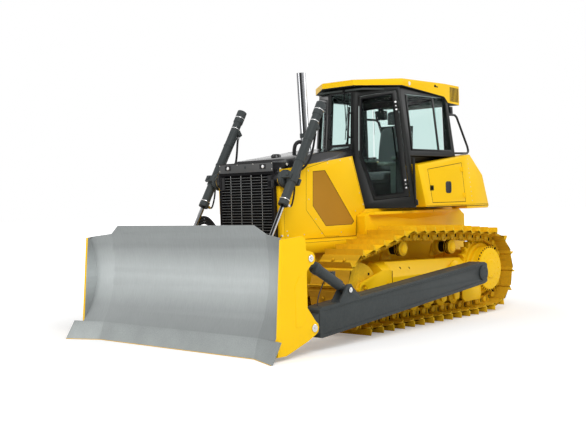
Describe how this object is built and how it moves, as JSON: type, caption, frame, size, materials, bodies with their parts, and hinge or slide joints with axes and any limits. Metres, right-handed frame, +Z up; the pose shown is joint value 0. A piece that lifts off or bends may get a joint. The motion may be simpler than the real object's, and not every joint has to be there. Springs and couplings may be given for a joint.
{
  "type": "crawler bulldozer with outside-mounted semi-U blade",
  "caption": "Crawler tractor with a hinged-cab, two chain tracks and a front semi-U blade carried on push beams with lift and tilt cylinders.",
  "frame": {"origin": "ground level under the middle of the machine length, from drawbar end to blade tip", "axes": "+X forwards to the blade, +Y to the left of the operator, +Z up"},
  "size_m": [5.6, 3.32, 3.0945],
  "materials": {
    "yellow_paint": "satin",
    "track_steel": "satin",
    "black_paint": "satin",
    "charcoal_paint": "satin",
    "chrome": "polished",
    "blade_steel": "brushed",
    "edge_steel": "ground",
    "glass": "clear",
    "seat_fabric": "woven",
    "dark_plastic": "matte",
    "lamp": "clear",
    "cast_iron": "rough"
  },
  "bodies": {
    "chassis": {"main_frame": "yellow_paint", "engine_block": "cast_iron", "radiator_core": "cast_iron", "nose_frame": "black_paint", "hood_top": "black_paint", "side_panels": "yellow_paint", "track_left": "track_steel", "track_right": "track_steel", "sprockets": "yellow_paint", "idlers": "yellow_paint", "track_rollers": "yellow_paint", "carrier_rollers": "yellow_paint", "track_frames": "yellow_paint", "fender_tanks": "yellow_paint", "cab_frame": "black_paint", "cab_glass": "glass", "cab_roof": "yellow_paint", "exhaust_stack": "chrome", "operator_seat": "seat_fabric", "control_console": "dark_plastic", "handrails": "black_paint", "lamps": "lamp"},
    "lift_carrier": {"trunnion_caps": "charcoal_paint"},
    "blade_assembly": {"blade": "blade_steel", "cutting_edge": "edge_steel"},
    "push_beam_left": {"push_beam_left": "charcoal_paint"},
    "tilt_barrel_left": {"tilt_barrel_left": "charcoal_paint"},
    "tilt_rod_left": {"tilt_rod_left": "chrome"},
    "lift_yoke_left": {"lift_yoke_left": "charcoal_paint"},
    "lift_barrel_left": {"lift_barrel_left": "charcoal_paint"},
    "lift_rod_left": {"lift_rod_left": "chrome"},
    "cab_door_left": {"cab_door_left": "black_paint", "cab_door_glass_left": "glass"},
    "service_door_left": {"service_door_left": "yellow_paint"},
    "push_beam_right": {"push_beam_right": "charcoal_paint"},
    "tilt_barrel_right": {"tilt_barrel_right": "charcoal_paint"},
    "tilt_rod_right": {"tilt_rod_right": "chrome"},
    "lift_yoke_right": {"lift_yoke_right": "charcoal_paint"},
    "lift_barrel_right": {"lift_barrel_right": "charcoal_paint"},
    "lift_rod_right": {"lift_rod_right": "chrome"},
    "cab_door_right": {"cab_door_right": "black_paint", "cab_door_glass_right": "glass"},
    "service_door_right": {"service_door_right": "yellow_paint"},
    "grille_door": {"grille_door": "black_paint"}
  },
  "joints": [
    {"name": "blade_lift", "type": "hinge", "parent": "chassis", "child": "lift_carrier", "pos_m": [-1.2, 0, 0.58], "axis": [0, 1, 0], "range_deg": [-16, 8]},
    {"name": "blade_tilt", "type": "hinge", "parent": "lift_carrier", "child": "blade_assembly", "pos_m": [-1.2, 0, 0.58], "axis": [0.9956, 0, -0.0939], "range_deg": [-5.5, 5.5]},
    {"name": "beam_swing_left", "type": "hinge", "parent": "lift_carrier", "child": "push_beam_left", "pos_m": [-1.2, 0, 0.58], "axis": [0, 1, 0], "range_deg": [-2.55, 2.55]},
    {"name": "tilt_swing_left", "type": "hinge", "parent": "push_beam_left", "child": "tilt_barrel_left", "pos_m": [1.438, 1.462, 0.592], "axis": [0.4699, 0.2354, -0.8508], "range_deg": [-5.28, 5.28]},
    {"name": "tilt_stroke_left", "type": "slide", "parent": "tilt_barrel_left", "child": "tilt_rod_left", "axis": [0.8754, 0, 0.4835], "range_m": [-0.027, 0.027]},
    {"name": "lift_swing_left", "type": "hinge", "parent": "chassis", "child": "lift_yoke_left", "pos_m": [1.324, 0.65, 1.79], "axis": [0, 1, 0], "range_deg": [-24.3, 12.3]},
    {"name": "lift_gimbal_left", "type": "hinge", "parent": "lift_yoke_left", "child": "lift_barrel_left", "pos_m": [1.324, 0.65, 1.79], "axis": [0.8568, 0, 0.5157], "range_deg": [-2, 2]},
    {"name": "lift_stroke_left", "type": "slide", "parent": "lift_barrel_left", "child": "lift_rod_left", "axis": [0.5157, 0, -0.8568], "range_m": [-0.745, 0.374]},
    {"name": "cab_door_swing_left", "type": "hinge", "parent": "chassis", "child": "cab_door_left", "pos_m": [-0.678, 0.80862, 1.56146], "axis": [0.0122, -0.1152, 0.9933], "range_deg": [0, 110]},
    {"name": "service_door_swing_left", "type": "hinge", "parent": "chassis", "child": "service_door_left", "pos_m": [-1.865, 0.8793, 1.47], "axis": [0.1607, 0, 0.987], "range_deg": [0, 100]},
    {"name": "beam_swing_right", "type": "hinge", "parent": "lift_carrier", "child": "push_beam_right", "pos_m": [-1.2, 0, 0.58], "axis": [0, 1, 0], "range_deg": [-2.55, 2.55]},
    {"name": "tilt_swing_right", "type": "hinge", "parent": "push_beam_right", "child": "tilt_barrel_right", "pos_m": [1.438, -1.462, 0.592], "axis": [0.4699, -0.2354, -0.8508], "range_deg": [-5.28, 5.28]},
    {"name": "tilt_stroke_right", "type": "slide", "parent": "tilt_barrel_right", "child": "tilt_rod_right", "axis": [0.8754, 0, 0.4835], "range_m": [-0.027, 0.027]},
    {"name": "lift_swing_right", "type": "hinge", "parent": "chassis", "child": "lift_yoke_right", "pos_m": [1.324, -0.65, 1.79], "axis": [0, 1, 0], "range_deg": [-24.3, 12.3]},
    {"name": "lift_gimbal_right", "type": "hinge", "parent": "lift_yoke_right", "child": "lift_barrel_right", "pos_m": [1.324, -0.65, 1.79], "axis": [0.8568, 0, 0.5157], "range_deg": [-2, 2]},
    {"name": "lift_stroke_right", "type": "slide", "parent": "lift_barrel_right", "child": "lift_rod_right", "axis": [0.5157, 0, -0.8568], "range_m": [-0.745, 0.374]},
    {"name": "cab_door_swing_right", "type": "hinge", "parent": "chassis", "child": "cab_door_right", "pos_m": [-0.678, -0.80862, 1.56146], "axis": [-0.0122, -0.1152, -0.9933], "range_deg": [0, 110]},
    {"name": "service_door_swing_right", "type": "hinge", "parent": "chassis", "child": "service_door_right", "pos_m": [-1.865, -0.8793, 1.47], "axis": [-0.1607, 0, -0.987], "range_deg": [0, 100]},
    {"name": "grille_door_swing", "type": "hinge", "parent": "chassis", "child": "grille_door", "pos_m": [1.4323, 0.437, 1.15], "axis": [0, 0, 1], "range_deg": [0, 65]}
  ],
  "couplings": [
    {"joint": "beam_swing_left", "follows": "blade_tilt", "ratio": -0.44537},
    {"joint": "tilt_swing_left", "follows": "blade_tilt", "ratio": 0.92433},
    {"joint": "tilt_stroke_left", "follows": "blade_tilt", "m_per_rad": 0.26056},
    {"joint": "lift_swing_left", "follows": "blade_lift", "ratio": 1.5008},
    {"joint": "lift_gimbal_left", "follows": "blade_tilt", "ratio": -0.3287},
    {"joint": "lift_stroke_left", "follows": "blade_lift", "m_per_rad": 2.6596},
    {"joint": "beam_swing_right", "follows": "blade_tilt", "ratio": 0.44537},
    {"joint": "tilt_swing_right", "follows": "blade_tilt", "ratio": 0.92433},
    {"joint": "tilt_stroke_right", "follows": "blade_tilt", "m_per_rad": -0.26056},
    {"joint": "lift_swing_right", "follows": "blade_lift", "ratio": 1.5008},
    {"joint": "lift_gimbal_right", "follows": "blade_tilt", "ratio": -0.3287},
    {"joint": "lift_stroke_right", "follows": "blade_lift", "m_per_rad": 2.6596}
  ]
}
